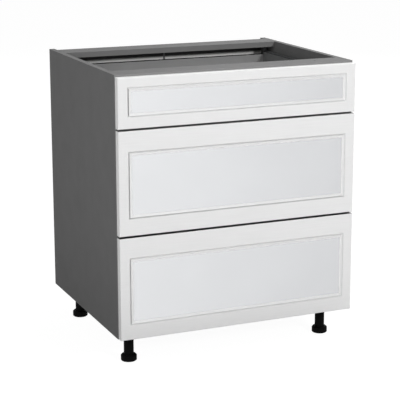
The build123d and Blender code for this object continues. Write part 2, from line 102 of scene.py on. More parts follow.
def blank_material(name, roughness, metallic=0.0, specular=0.5):
    """An empty material with one Principled shader, whose constants sit on its own sockets."""
    material = bpy.data.materials.new(name)
    material.use_nodes = True
    tree = material.node_tree
    tree.nodes.clear()
    shader = add(tree, "ShaderNodeBsdfPrincipled", {"Roughness": roughness, "Metallic": metallic,
                                                    "Specular IOR Level": specular})
    output = add(tree, "ShaderNodeOutputMaterial")
    tree.links.new(shader.outputs["BSDF"], output.inputs["Surface"])
    return material, tree, shader


def clothe(names, material):
    """Gives CAD nodes their material, in every slot."""
    for name in names:
        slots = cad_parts[name].material_slots
        for slot in slots:
            slot.material = material
        if not slots:
            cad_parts[name].data.materials.append(material)


# ---------------------------------------------------------------- sizes and colours
class CabinetColours(bpy.types.PropertyGroup):
    """Colours of the boards, fronts, metal and plastic."""

    board: FloatVectorProperty(
        name="Board", description="Grey melamine of the carcase boards",
        subtype="COLOR", size=3, min=0, max=1, default=linear("#737373"))
    drawer_board: FloatVectorProperty(
        name="Drawer board", description="Paler melamine of the drawer boards",
        subtype="COLOR", size=3, min=0, max=1, default=linear("#949494"))
    # Painted shade: the top edges of the drawer backs and sides are darkened as if unlit.
    rim: FloatVectorProperty(
        name="Drawer rim", description="Dark strip on the drawer's top edges",
        subtype="COLOR", size=3, min=0, max=1, default=linear("#303132"))
    edging: FloatVectorProperty(
        name="Front edging", description="Paler edging on the carcase's front edges",
        subtype="COLOR", size=3, min=0, max=1, default=linear("#8C8C8C"))
    core: FloatVectorProperty(
        name="Board core", description="Chipboard that shows in bores and grooves",
        subtype="COLOR", size=3, min=0, max=1, default=linear("#A9855C"))
    front: FloatVectorProperty(
        name="Front", description="White foil of the drawer fronts",
        subtype="COLOR", size=3, min=0, max=1, default=linear("#EEEEEE"))
    # Painted shade on the fronts' level edges where two of them meet, so the gaps read dark.
    gap_shade: FloatVectorProperty(
        name="Gap edge", description="Edging of the fronts where two of them meet",
        subtype="COLOR", size=3, min=0, max=1, default=linear("#6A6A6A"))
    # The field's cool tone, with a painted sheen that makes it paler at its left end.
    field_sheen_left: FloatVectorProperty(
        name="Field, left", description="Centre field at its left end",
        subtype="COLOR", size=3, min=0, max=1, default=linear("#DFE0E2"))
    field_sheen_right: FloatVectorProperty(
        name="Field, right", description="Centre field at its right end",
        subtype="COLOR", size=3, min=0, max=1, default=linear("#D0D1D3"))
    back: FloatVectorProperty(
        name="Back", description="Lacquered face of the hardboard back",
        subtype="COLOR", size=3, min=0, max=1, default=linear("#F0F0EE"))
    strip: FloatVectorProperty(
        name="Back strip", description="Plastic strip between the halves of the back",
        subtype="COLOR", size=3, min=0, max=1, default=linear("#7C7C7C"))
    back_raw: FloatVectorProperty(
        name="Back, rear face", description="Bare rear face of the hardboard",
        subtype="COLOR", size=3, min=0, max=1, default=linear("#8A6646"))
    drawer_steel: FloatVectorProperty(
        name="Drawer steel", description="Powder coat of the drawer sides",
        subtype="COLOR", size=3, min=0, max=1, default=linear("#6C6D6D"))
    zinc: FloatVectorProperty(
        name="Zinc", description="Zinc plating of runners and screws",
        subtype="COLOR", size=3, min=0, max=1, default=linear("#C9CBCC"))
    leg_plastic: FloatVectorProperty(
        name="Leg plastic", description="Black plastic of legs and feet",
        subtype="COLOR", size=3, min=0, max=1, default=linear("#080808"))
    fitting_plastic: FloatVectorProperty(
        name="Fitting plastic", description="Connectors and caps",
        subtype="COLOR", size=3, min=0, max=1, default=linear("#3A3B3C"))


class CabinetHardware(bpy.types.PropertyGroup):
    """Sizes of the small hardware."""

    head_radius: FloatProperty(
        name="Screw head radius", description="Pan head of a chipboard screw",
        unit="LENGTH", min=0.002, max=0.006, default=0.0034)
    head_height: FloatProperty(
        name="Screw head height", description="Height of a pan head",
        unit="LENGTH", min=0.001, max=0.004, default=0.0018)
    runner_head_radius: FloatProperty(
        name="Runner screw radius", description="Flat head in a runner's slot",
        unit="LENGTH", min=0.002, max=0.0028, default=0.0027)
    runner_head_height: FloatProperty(
        name="Runner screw height", description="Flat head in a runner's slot",
        unit="LENGTH", min=0.0005, max=0.0014, default=0.0013)
    rivet_radius: FloatProperty(
        name="Rivet radius", description="Head of a rivet in a drawer profile",
        unit="LENGTH", min=0.001, max=0.005, default=0.0032)
    rivet_height: FloatProperty(
        name="Rivet height", description="Head of a rivet in a drawer profile",
        unit="LENGTH", min=0.0003, max=0.0015, default=0.0009)
    head_facets: IntProperty(
        name="Screw facets", description="Sides of a screw head, a multiple of 4",
        min=8, max=32, default=16)
    cap_length: FloatProperty(
        name="Cap length", description="Adjuster cap on a drawer side",
        unit="LENGTH", min=0.01, max=0.06, default=0.034)
    cap_height: FloatProperty(
        name="Cap height", description="Adjuster cap on a drawer side",
        unit="LENGTH", min=0.006, max=0.03, default=0.015)


class CabinetStudio(bpy.types.PropertyGroup):
    """Camera and light."""

    camera_place: FloatVectorProperty(
        name="Camera", description="Where the camera stands",
        subtype="TRANSLATION", unit="LENGTH", size=3, default=(-1.54109, -3.62257, 1.33593))
    camera_turn: FloatVectorProperty(
        name="Camera turn", description="How the camera is turned",
        subtype="EULER", unit="ROTATION", size=3, default=(1.34720, -0.00172, -0.41994))
    lens_mm: FloatProperty(
        name="Lens", description="Focal length in mm on a 36 mm sensor",
        unit="CAMERA", min=20, max=300, default=125.259)
    lens_shift: FloatVectorProperty(
        name="Lens shift", description="Shift of the lens, in widths of the picture",
        size=2, min=-1, max=1, default=(-0.0575, -0.0522))
    key_power: FloatProperty(
        name="Key light", description="Power of the small low lamp in front",
        unit="POWER", min=0, default=75.0)
    soft_power: FloatProperty(
        name="Soft light", description="Power of the large lamp in front, at the left",
        unit="POWER", min=0, default=23.0)
    top_power: FloatProperty(
        name="Top light", description="Power of the large lamp overhead",
        unit="POWER", min=0, default=81.0)
    fill_power: FloatProperty(
        name="Fill light", description="Power of the soft lamp at the left",
        unit="POWER", min=0, default=15.5)
    rear_power: FloatProperty(
        name="Rear light", description="Power of the soft lamp behind",
        unit="POWER", min=0, default=34.0)
    sky_strength: FloatProperty(
        name="Sky", description="Strength of the even light from all round",
        min=0, max=2, default=0.15)


# ---------------------------------------------------------------- materials
def surface(tree):
    """The shaded point, and its place and the way it faces, each split in x, y and z."""
    place = add(tree, "ShaderNodeTexCoord").outputs["Object"]
    normal = add(tree, "ShaderNodeNewGeometry").outputs["Normal"]
    spot = add(tree, "ShaderNodeSeparateXYZ", {"Vector": place}).outputs
    facing = add(tree, "ShaderNodeSeparateXYZ", {"Vector": normal}).outputs
    return place, spot, facing


def all_of(tree, mask, *others):
    """1 where every mask is 1, and 0 elsewhere."""
    for other in others:
        both = add(tree, "ShaderNodeMath", {0: mask, 1: other}, operation="MULTIPLY")
        mask = both.outputs[0]
    return mask


def within(tree, value, low, high):
    """1 where a value lies between two limits, and 0 elsewhere."""
    over = add(tree, "ShaderNodeMath", {0: value, 1: low}, operation="GREATER_THAN")
    under = add(tree, "ShaderNodeMath", {0: value, 1: high}, operation="LESS_THAN")
    return all_of(tree, over.outputs[0], under.outputs[0])


def toned(tree, colour, value, span, shares):
    """A colour that goes from one share of its tone to another as a value crosses its span."""
    share = add(tree, "ShaderNodeMapRange", {"Value": value, "From Min": span[0],
                                             "From Max": span[1], "To Min": shares[0],
                                             "To Max": shares[1]})
    scaled = add(tree, "ShaderNodeVectorMath", {0: colour, 3: share.outputs["Result"]},
                 operation="SCALE")
    return scaled.outputs["Vector"]


def coated(tree, colour, *coats):
    """A colour under coats, each of which covers it where the coat's mask is 1."""
    for mask, coat in coats:
        mixed = add(tree, "ShaderNodeMix", {"Factor": mask, "A": colour, "B": coat},
                    data_type="VECTOR")
        colour = mixed.outputs[1]
    return colour


def shaded_top_edge(tree, spot, facing, node):
    """1 on the top edge of a node with its rounded corners, where a painted shade goes, and 0
    elsewhere.
    """
    rim_height = 4 * MM
    return all_of(tree, within(tree, facing["Z"], 0.2, PAST),
                  within(tree, spot["Z"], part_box(node)[1].z - rim_height, PAST))


def melamine_board(node, tone, rim=False, edging=False):
    """Melamine-faced chipboard: printed grey paper pressed on with a fine pearl emboss, so it is
    matt with a soft sheen at a low angle. Bores and grooves show the glued chips of the core.
    With a rim, its top edge has a painted shade, and with edging, its front edge a paler edging."""
    colours = bpy.context.scene.cabinet_colours
    material, tree, shader = blank_material("melamine_faced_chipboard_" + node, 0.65,
                                            specular=0.06)
    place, spot, facing = surface(tree)

    # Faint cloudiness of the print, 60 mm wide, and the 0.9 mm grit of the emboss.
    cloud = add(tree, "ShaderNodeTexNoise", {"Vector": place, "Scale": 1 / (60 * MM),
                                             "Detail": 3.0})
    printed = toned(tree, tone, cloud.outputs["Fac"], NOISE, (0.965, 1.035))
    pearl = add(tree, "ShaderNodeTexNoise", {"Vector": place, "Scale": 1 / (0.9 * MM),
                                             "Detail": 2.0})

    # Chips about 2.5 mm wide, from pale to brown.
    chips = add(tree, "ShaderNodeTexVoronoi", {"Vector": place, "Scale": 1 / (2.5 * MM)})
    chipped = toned(tree, colours.core, chips.outputs["Distance"], (0.0, 0.9), (1.15, 0.6))

    # A surface point that lies deeper than this inside the board's outer faces is in a cut.
    cut_depth = 0.9 * MM
    low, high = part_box(node)
    middle, half = (low + high) / 2, (high - low) / 2
    centred = add(tree, "ShaderNodeVectorMath", {0: place, 1: middle}, operation="SUBTRACT")
    away = add(tree, "ShaderNodeVectorMath", {0: centred.outputs["Vector"]}, operation="ABSOLUTE")
    inside = add(tree, "ShaderNodeVectorMath", {0: half, 1: away.outputs["Vector"]},
                 operation="SUBTRACT")
    depth = add(tree, "ShaderNodeSeparateXYZ", {"Vector": inside.outputs["Vector"]}).outputs
    least = depth["X"]
    for axis in ("Y", "Z"):
        lesser = add(tree, "ShaderNodeMath", {0: least, 1: depth[axis]}, operation="MINIMUM")
        least = lesser.outputs[0]
    cut = add(tree, "ShaderNodeMath", {0: least, 1: cut_depth}, operation="GREATER_THAN")

    coats = [(cut.outputs[0], chipped)]
    # The rim is a painted shade on the top edge.
    if rim:
        coats.append((shaded_top_edge(tree, spot, facing, node), colours.rim))
    if edging:
        edging_depth = 2 * MM
        front = all_of(tree, within(tree, facing["Y"], -PAST, -0.7),
                       within(tree, spot["Y"], -PAST, low.y + edging_depth))
        coats.append((front, colours.edging))
    tree.links.new(coated(tree, printed, *coats), shader.inputs["Base Color"])

    bump = add(tree, "ShaderNodeBump", {"Height": pearl.outputs["Fac"], "Strength": 0.25,
                                        "Distance": 0.03 * MM})
    tree.links.new(bump.outputs["Normal"], shader.inputs["Normal"])
    return material


def front_foil(n):
    """White vinyl foil, vacuum-formed over fibreboard: satin, a little orange peel, and a trace
    of drawn grain along the rails. Edges where two fronts meet have a grey painted shade, so the
    gap reads as a dark line. The quirk's steps that face left and up and the ledge below the
    field are darkened as painted shade, and the coves above and below the field are made paler
    or darker as painted light and shade, paler at their left end as a painted sheen."""
    colours = bpy.context.scene.cabinet_colours
    material, tree, shader = blank_material(f"vacuum_formed_white_foil_{n}", 0.42, specular=0.4)
    place, spot, facing = surface(tree)
    low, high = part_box(f"front_board_{n}")
    field_low, field_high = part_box(f"centre_panel_{n}")

    # Streaks 90 mm long and 1.6 mm high, hardly darker than the ground.
    length, height = 90 * MM, 1.6 * MM
    drawn = add(tree, "ShaderNodeMapping", {"Vector": place,
                                            "Scale": (1 / length, 1 / length, 1 / height)})
    streak = add(tree, "ShaderNodeTexNoise", {"Vector": drawn.outputs["Vector"], "Scale": 1.0,
                                              "Detail": 3.0})
    foil = toned(tree, colours.front, streak.outputs["Fac"], (0.35, 0.65), (0.985, 1.01))

    # The moulding steps from the cove to the quirk 7.3 mm outside the field, and ends 12 mm
    # outside it. The ledge keeps clear of the front's own lower edge, and the coves start just
    # inside the field.
    cove, quirk, lower_edge, overlap = 7.3 * MM, 12 * MM, 5 * MM, 0.2 * MM
    ledge = all_of(tree, within(tree, facing["Z"], 0.3, PAST),
                   within(tree, spot["Z"], low.z + lower_edge, field_low.z - cove))
    step = all_of(tree, within(tree, facing["Y"], -0.2, 0.5),
                  within(tree, spot["X"], field_low.x - quirk, field_high.x + quirk),
                  within(tree, spot["Z"], field_low.z - quirk, field_high.z + quirk))
    above = all_of(tree, within(tree, facing["Z"], -0.99, -0.02),
                   within(tree, spot["Z"], field_high.z - overlap, field_high.z + cove))
    below = all_of(tree, within(tree, facing["Z"], 0.02, 0.99),
                   within(tree, spot["Z"], field_low.z - cove, field_low.z + overlap))

    # A cove is a little paler than its tone at its left end, and a little deeper at its right, a
    # painted sheen like the field's.
    sheen_slope = 0.03
    along = {"Value": spot["X"], "From Min": field_low.x, "From Max": field_high.x}
    upper, lower = (add(tree, "ShaderNodeMapRange", {**along, "To Min": tone + sheen_slope,
                                                     "To Max": tone - sheen_slope})
                    for tone in COVE_LIGHT_AND_SHADE[n])
    leftward = all_of(tree, step, within(tree, facing["X"], -PAST, -0.5))
    upward = all_of(tree, step, within(tree, facing["Z"], 0.5, PAST))
    # The ledge and the steps get painted shade, and the coves painted light and shade.
    for mask, share in ((ledge, LEDGE_SHADE[n]), (leftward, STEP_SHADE[n][0]),
                        (upward, STEP_SHADE[n][1]), (above, upper.outputs["Result"]),
                        (below, lower.outputs["Result"])):
        foil = toned(tree, foil, mask, (0, 1), (1, share))

    # Painted shade on the level edges, on all but the cabinet's topmost and lowest one, so the
    # gaps between fronts read dark. It is darker in the lower gap than in the upper one.
    edge_height, lower_gap, upper_gap = 3 * MM, 0.37, 0.66
    edges = [within(tree, spot["Z"], high.z - edge_height, PAST)] if n > 1 else []
    edges += [within(tree, spot["Z"], -PAST, low.z + edge_height)] if n < 3 else []
    level = add(tree, "ShaderNodeMath", {0: facing["Z"]}, operation="ABSOLUTE").outputs[0]
    level = within(tree, level, 0.7, PAST)
    # The grey of these edges is a painted shade.
    edging = toned(tree, colours.gap_shade, spot["Z"], (lower_gap, upper_gap), (0.3, 1.7))
    foil = coated(tree, foil, *((all_of(tree, level, edge), edging) for edge in edges))
    tree.links.new(foil, shader.inputs["Base Color"])

    peel = add(tree, "ShaderNodeTexNoise", {"Vector": place, "Scale": 1 / (2.2 * MM),
                                            "Detail": 1.0})
    bump = add(tree, "ShaderNodeBump", {"Height": peel.outputs["Fac"], "Strength": 0.15,
                                        "Distance": 0.02 * MM})
    tree.links.new(bump.outputs["Normal"], shader.inputs["Normal"])
    return material


def field_facing():
    """Pearl lacquered facing of the centre fields: cooler than the foil, with fine metal flakes
    that mirror softly, and a painted sheen that makes it paler at its left end than at its right."""
    colours = bpy.context.scene.cabinet_colours
    material, tree, shader = blank_material("pearl_lacquered_facing", 0.27, metallic=0.75,
                                            specular=0.45)
    place = add(tree, "ShaderNodeTexCoord").outputs["Object"]
    low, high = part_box("centre_panel_1")
    along = add(tree, "ShaderNodeSeparateXYZ", {"Vector": place})
    share = add(tree, "ShaderNodeMapRange", {"Value": along.outputs["X"], "From Min": low.x,
                                             "From Max": high.x})
    # The fade from the left end to the right is a painted sheen.
    tone = coated(tree, colours.field_sheen_left, (share.outputs["Result"], colours.field_sheen_right))
    cloud = add(tree, "ShaderNodeTexNoise", {"Vector": place, "Scale": 1 / (120 * MM),
                                             "Detail": 1.0})
    lacquer = toned(tree, tone, cloud.outputs["Fac"], NOISE, (0.99, 1.01))
    tree.links.new(lacquer, shader.inputs["Base Color"])
    peel = add(tree, "ShaderNodeTexNoise", {"Vector": place, "Scale": 1 / (3 * MM), "Detail": 1.0})
    bump = add(tree, "ShaderNodeBump", {"Height": peel.outputs["Fac"], "Strength": 0.1,
                                        "Distance": 0.02 * MM})
    tree.links.new(bump.outputs["Normal"], shader.inputs["Normal"])
    return material


def hardboard():
    """Hardboard pressed on a wire screen: white lacquer on its smooth face, darkening into a
    painted shadow under the rear rail, and bare brown fibre with the screen's print on its rear
    face."""
    colours = bpy.context.scene.cabinet_colours
    material, tree, shader = blank_material("lacquered_hardboard", 0.5)
    place, spot, facing = surface(tree)
    rear = add(tree, "ShaderNodeMath", {0: facing["Y"], 1: 0.5}, operation="GREATER_THAN")

    fibre = add(tree, "ShaderNodeTexNoise", {"Vector": place, "Scale": 1 / (4 * MM),
                                             "Detail": 4.0})
    raw = toned(tree, colours.back_raw, fibre.outputs["Fac"], NOISE, (0.82, 1.15))
    cloud = add(tree, "ShaderNodeTexNoise", {"Vector": place, "Scale": 1 / (80 * MM),
                                             "Detail": 2.0})
    lacquer = toned(tree, colours.back, cloud.outputs["Fac"], NOISE, (0.97, 1.03))
    # Painted shadow of the rear rail: the lacquer darkens between these heights.
    shadow_foot, shadow_top = 0.761, 0.768
    lacquer = toned(tree, lacquer, spot["Z"], (shadow_foot, shadow_top), (1.0, 0.06))
    tree.links.new(coated(tree, lacquer, (rear.outputs["Value"], raw)),
                   shader.inputs["Base Color"])

    # Print of the screen's crossed wires. They are about 1.5 mm apart, and are drawn as waves
    # 9.4 mm long so that they show. Such a wave is 0.314 of the texture's unit.
    unit = 30 * MM
    across, upward = (add(tree, "ShaderNodeTexWave", {"Vector": place, "Scale": 1 / unit},
                          bands_direction=axis) for axis in ("X", "Z"))
    screen = all_of(tree, across.outputs["Fac"], upward.outputs["Fac"], rear.outputs["Value"])
    bump = add(tree, "ShaderNodeBump", {"Height": screen, "Strength": 0.5,
                                        "Distance": 0.15 * MM})
    tree.links.new(bump.outputs["Normal"], shader.inputs["Normal"])
    return material


def powder_coat(n, topmost):
    """Polyester powder coat baked on folded steel: even mid grey with a fine orange peel, and a
    painted shade, dark and matt, along the top edge of the node that is named."""
    colours = bpy.context.scene.cabinet_colours
    material, tree, shader = blank_material(f"powder_coated_steel_{n}", 0.38, specular=0.2)
    place, spot, facing = surface(tree)
    # The rim is a painted shade on the top edge, which is also made fully rough.
    rim = shaded_top_edge(tree, spot, facing, topmost)
    tree.links.new(coated(tree, colours.drawer_steel, (rim, colours.rim)),
                   shader.inputs["Base Color"])
    peel = add(tree, "ShaderNodeTexNoise", {"Vector": place, "Scale": 1 / (1.2 * MM),
                                            "Detail": 2.0})
    gloss = add(tree, "ShaderNodeMapRange", {"Value": peel.outputs["Fac"], "From Min": NOISE[0],
                                             "From Max": NOISE[1], "To Min": 0.34,
                                             "To Max": 0.42})
    gloss = add(tree, "ShaderNodeMath", {0: gloss.outputs["Result"], 1: rim},
                operation="MAXIMUM")
    tree.links.new(gloss.outputs[0], shader.inputs["Roughness"])
    bump = add(tree, "ShaderNodeBump", {"Height": peel.outputs["Fac"], "Strength": 0.3,
                                        "Distance": 0.03 * MM})
    tree.links.new(bump.outputs["Normal"], shader.inputs["Normal"])
    return material


def zinc_plate():
    """Bright zinc plated on rolled steel: a silvery metal with fine lines along the rolling.
    The lines are drawn coarser than they are, so that they show."""
    colours = bpy.context.scene.cabinet_colours
    material, tree, shader = blank_material("zinc_plated_rolled_steel", 0.34, metallic=1.0)
    place = add(tree, "ShaderNodeTexCoord").outputs["Object"]
    width, length = 0.7 * MM, 60 * MM
    rolled = add(tree, "ShaderNodeMapping", {"Vector": place,
                                             "Scale": (1 / width, 1 / length, 1 / width)})
    lines = add(tree, "ShaderNodeTexNoise", {"Vector": rolled.outputs["Vector"], "Scale": 1.0,
                                             "Detail": 2.0})
    spangle = add(tree, "ShaderNodeTexNoise", {"Vector": place, "Scale": 1 / (9 * MM),
                                               "Detail": 1.0})
    both = add(tree, "ShaderNodeMath", {0: lines.outputs["Fac"], 1: spangle.outputs["Fac"]},
               operation="ADD")
    plate = toned(tree, colours.zinc, both.outputs["Value"], (0.7, 1.3), (0.88, 1.08))
    tree.links.new(plate, shader.inputs["Base Color"])
    gloss = add(tree, "ShaderNodeMapRange", {"Value": lines.outputs["Fac"], "From Min": NOISE[0],
                                             "From Max": NOISE[1], "To Min": 0.28,
                                             "To Max": 0.42})
    tree.links.new(gloss.outputs["Result"], shader.inputs["Roughness"])
    bump = add(tree, "ShaderNodeBump", {"Height": lines.outputs["Fac"], "Strength": 0.15,
                                        "Distance": 0.02 * MM})
    tree.links.new(bump.outputs["Normal"], shader.inputs["Normal"])
    return material


def moulded_plastic(name, colour, roughness, grit_mm):
    """Injection-moulded plastic with the fine grit of a spark-eroded tool, which is drawn
    coarser than it is, so that it shows."""
    material, tree, shader = blank_material(name, roughness, specular=0.06)
    place = add(tree, "ShaderNodeTexCoord").outputs["Object"]
    grit = add(tree, "ShaderNodeTexNoise", {"Vector": place, "Scale": 1 / (grit_mm * MM),
                                            "Detail": 2.0})
    tint = toned(tree, colour, grit.outputs["Fac"], NOISE, (0.9, 1.1))
    tree.links.new(tint, shader.inputs["Base Color"])
    bump = add(tree, "ShaderNodeBump", {"Height": grit.outputs["Fac"], "Strength": 0.4,
                                        "Distance": 0.04 * MM})
    tree.links.new(bump.outputs["Normal"], shader.inputs["Normal"])
    return material


def soft_pad():
    """Clear polyurethane pad, cast in a drop: milky and slightly see-through."""
    material, tree, shader = blank_material("cast_polyurethane_pad", 0.25)
    shader.inputs["Base Color"].default_value = (*linear("#D4D6D4"), 1.0)
    shader.inputs["Transmission Weight"].default_value = 0.35
    place = add(tree, "ShaderNodeTexCoord").outputs["Object"]
    haze = add(tree, "ShaderNodeTexNoise", {"Vector": place, "Scale": 1 / (2 * MM)})
    gloss = add(tree, "ShaderNodeMapRange", {"Value": haze.outputs["Fac"], "To Min": 0.2,
                                             "To Max": 0.35})
    tree.links.new(gloss.outputs["Result"], shader.inputs["Roughness"])
    return material


def turned_beech():
    """Beech turned into dowels: pale, with short darker flecks along the grain."""
    material, tree, shader = blank_material("turned_beech", 0.6)
    place = add(tree, "ShaderNodeTexCoord").outputs["Object"]
    length, width = 8 * MM, 0.8 * MM
    grain = add(tree, "ShaderNodeMapping", {"Vector": place,
                                            "Scale": (1 / length, 1 / width, 1 / width)})
    fleck = add(tree, "ShaderNodeTexNoise", {"Vector": grain.outputs["Vector"], "Scale": 1.0,
                                             "Detail": 3.0})
    wood = toned(tree, linear("#D2B184"), fleck.outputs["Fac"], NOISE, (0.8, 1.08))
    tree.links.new(wood, shader.inputs["Base Color"])
    return material


def die_cast_zinc():
    """Zinc alloy, die cast and tumbled: dull grey metal with a fine grain."""
    material, tree, shader = blank_material("die_cast_zinc_alloy", 0.5, metallic=1.0)
    place = add(tree, "ShaderNodeTexCoord").outputs["Object"]
    grain = add(tree, "ShaderNodeTexNoise", {"Vector": place, "Scale": 1 / (0.8 * MM),
                                             "Detail": 3.0})
    cast = toned(tree, linear("#A7A8AA"), grain.outputs["Fac"], NOISE, (0.85, 1.1))
    tree.links.new(cast, shader.inputs["Base Color"])
    return material


# ---------------------------------------------------------------- small hardware shapes
def grown_ring(head, rings):
    """Grows a new ring of points from the last one, adds its edges to rings, and gives them."""
    grown = bmesh.ops.extrude_edge_only(head, edges=rings[-1])["geom"]
    verts = [g for g in grown if isinstance(g, bmesh.types.BMVert)]
    rings.append([g for g in grown if isinstance(g, bmesh.types.BMEdge)
                  and all(v in verts for v in g.verts)])
    return verts


def screw_head(radius, height):
    """A pan head with a cross recess, standing on z = 0 with its axis along +Z."""
    count = bpy.context.scene.cabinet_hardware.head_facets
    head = bmesh.new()
    foot = bmesh.ops.create_circle(head, segments=count, radius=radius)["verts"]
    bmesh.ops.rotate(head, verts=foot, cent=(0, 0, 0),
                     matrix=Matrix.Rotation(math.pi / count, 3, "Z"))
    rings = [list({edge for v in foot for edge in v.link_edges})]
    # The side and the rounded shoulder: shares of the head's height and radius.
    for rise, reach in ((0.45, 1.0), (0.4, 0.86), (0.15, 0.66)):
        verts = grown_ring(head, rings)
        now = max(v.co.xy.length for v in verts)
        bmesh.ops.scale(head, verts=verts, vec=(radius * reach / now, radius * reach / now, 1))
        bmesh.ops.translate(head, verts=verts, vec=(0, 0, height * rise))
    # The next rings are drawn in between the recess's four arms, which makes the cross.
    for reach_arm, reach_waist, drop in ((0.52, 0.2, 0.0), (0.4, 0.12, 0.6)):
        verts = grown_ring(head, rings)
        for v in verts:
            turn = math.degrees(math.atan2(v.co.y, v.co.x)) % 90
            arm = min(turn, 90 - turn) < 90 / 4
            v.co.xy = v.co.xy.normalized() * radius * (reach_arm if arm else reach_waist)
        bmesh.ops.translate(head, verts=verts, vec=(0, 0, -height * drop))
    bmesh.ops.edgeloop_fill(head, edges=rings[-1])
    bmesh.ops.edgeloop_fill(head, edges=rings[0])
    bmesh.ops.recalc_face_normals(head, faces=head.faces)
    mesh = bpy.data.meshes.new("screw_head")
    head.to_mesh(mesh)
    head.free()
    return mesh


def rivet_head():
    """A low round head, standing on z = 0."""
    sizes = bpy.context.scene.cabinet_hardware
    dome = bmesh.new()
    bmesh.ops.create_uvsphere(dome, u_segments=16, v_segments=8, radius=1.0)
    bmesh.ops.bisect_plane(dome, geom=dome.verts[:] + dome.edges[:] + dome.faces[:], dist=1e-6,
                           plane_co=(0, 0, 0), plane_no=(0, 0, -1), clear_outer=True)
    bmesh.ops.holes_fill(dome, edges=[edge for edge in dome.edges if edge.is_boundary], sides=0)
    bmesh.ops.scale(dome, verts=dome.verts,
                    vec=(sizes.rivet_radius, sizes.rivet_radius, sizes.rivet_height))
    bmesh.ops.recalc_face_normals(dome, faces=dome.faces)
    mesh = bpy.data.meshes.new("rivet_head")
    dome.to_mesh(mesh)
    dome.free()
    return mesh


def adjuster_cap():
    """A flat cap with round ends and a dished middle, standing on z = 0 and long in x."""
    sizes = bpy.context.scene.cabinet_hardware
    thickness, softening, lip, dish = 1.1 * MM, 0.5 * MM, 1.2 * MM, 0.4 * MM
    stretch = (sizes.cap_length - sizes.cap_height) / 2
    cap = bmesh.new()
    rim = bmesh.ops.create_circle(cap, segments=28, radius=sizes.cap_height / 2,
                                  cap_ends=True)["verts"]
    for sign in (-1, 1):
        end = [v for v in rim if v.co.x * sign > 1e-6]
        bmesh.ops.translate(cap, verts=end, vec=(sign * stretch, 0, 0))
    plate = bmesh.ops.extrude_face_region(cap, geom=list(cap.faces))["geom"]
    top = [g for g in plate if isinstance(g, bmesh.types.BMFace)]
    bmesh.ops.translate(cap, verts=list(top[0].verts), vec=(0, 0, thickness))
    bmesh.ops.recalc_face_normals(cap, faces=cap.faces)
    bmesh.ops.bevel(cap, geom=list(top[0].edges), offset=softening, offset_type="OFFSET",
                    segments=3, profile=0.5, affect="EDGES", material=-1)
    top = max(cap.faces, key=lambda f: f.calc_center_median().z * 1000 + f.calc_area())
    bmesh.ops.inset_region(cap, faces=[top], thickness=lip)
    bmesh.ops.translate(cap, verts=list(top.verts), vec=(0, 0, -dish))
    mesh = bpy.data.meshes.new("adjuster_cap")
    cap.to_mesh(mesh)
    cap.free()
    return mesh


def spread(name, mesh, places, material, body):
    """Copies a small mesh to places, each a point, the way that it faces and a turn, as one
    piece."""
    whole = bmesh.new()
    for point, facing, turn in places:
        part = bmesh.new()
        part.from_mesh(mesh)
        stand = Vector(facing).to_track_quat("Z", "Y").to_matrix().to_4x4()
        spin = Matrix.Rotation(turn, 4, "Z")
        bmesh.ops.transform(part, verts=part.verts,
                            matrix=Matrix.Translation(point) @ stand @ spin)
        moved = bpy.data.meshes.new("moved")
        part.to_mesh(moved)
        part.free()
        whole.from_mesh(moved)
        bpy.data.meshes.remove(moved)
    made = bpy.data.meshes.new(name)
    whole.to_mesh(made)
    whole.free()
    for face in made.polygons:
        face.use_smooth = False
    made.materials.append(material)
    piece = bpy.data.objects.new(name, made)
    bpy.context.scene.collection.objects.link(piece)
    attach(piece, body)
    return piece


# ---------------------------------------------------------------- operators
class CABINET_OT_boards(bpy.types.Operator):
    """Give the carcase boards and the drawer boards their grey melamine"""

    bl_idname = "cabinet.boards"
    bl_label = "Melamine boards"

    def execute(self, context):
        carcase = ["side_panel_left", "side_panel_right", "bottom_panel", "front_rail",
                   "rear_rail"]
        inner = [f"drawer_{kind}_{n}" for n in DRAWERS for kind in ("base", "back")]
        colours = context.scene.cabinet_colours
        for name in carcase:
            clothe([name], melamine_board(name, colours.board, edging=name != "rear_rail"))
        for name in inner:
            clothe([name], melamine_board(name, colours.drawer_board, rim="back" in name))
        return {"FINISHED"}


class CABINET_OT_back(bpy.types.Operator):
    """Lacquer the hardboard back and colour the strip that joins its halves"""

    bl_idname = "cabinet.back"
    bl_label = "Back"

    def execute(self, context):
        clothe(["back_panel_left", "back_panel_right"], hardboard())
        clothe(["back_strip"], moulded_plastic("extruded_grey_pvc",
                                               context.scene.cabinet_colours.strip, 0.45, 1.5))
        return {"FINISHED"}


class CABINET_OT_fronts(bpy.types.Operator):
    """Cover the drawer fronts with white foil and their centre fields with a pearl facing"""

    bl_idname = "cabinet.fronts"
    bl_label = "Drawer fronts"

    def execute(self, context):
        for n in DRAWERS:
            clothe([f"front_board_{n}"], front_foil(n))
        clothe([f"centre_panel_{n}" for n in DRAWERS], field_facing())
        return {"FINISHED"}


class CABINET_OT_drawer_steel(bpy.types.Operator):
    """Powder coat the folded drawer sides and the gallery rails"""

    bl_idname = "cabinet.drawer_steel"
    bl_label = "Drawer sides and rails"

    def execute(self, context):
        for n in DRAWERS:
            sides = [f"drawer_side_{n}_{side}" for side in SIDES]
            rails = [f"gallery_rails_{n}"] if n > 1 else []
            clothe(sides + rails, powder_coat(n, sides[0]))
        return {"FINISHED"}


class CABINET_OT_zinc_hardware(bpy.types.Operator):
    """Plate the runners, brackets, bolts and leg screws with zinc, and cast the cams"""

    bl_idname = "cabinet.zinc_hardware"
    bl_label = "Runners and fittings"

    def execute(self, context):
        channels = [f"runner_{kind}_{n}" for n in DRAWERS for kind in ("cabinet", "drawer")]
        channels += [f"runner_middle_{n}_{side}" for n in DRAWERS for side in SIDES]
        brackets = [f"front_brackets_{n}" for n in DRAWERS]
        clothe(channels + brackets + ["cam_bolts", "leg_screws"], zinc_plate())
        clothe(["cam_housings"], die_cast_zinc())
        clothe(["dowels"], turned_beech())
        return {"FINISHED"}


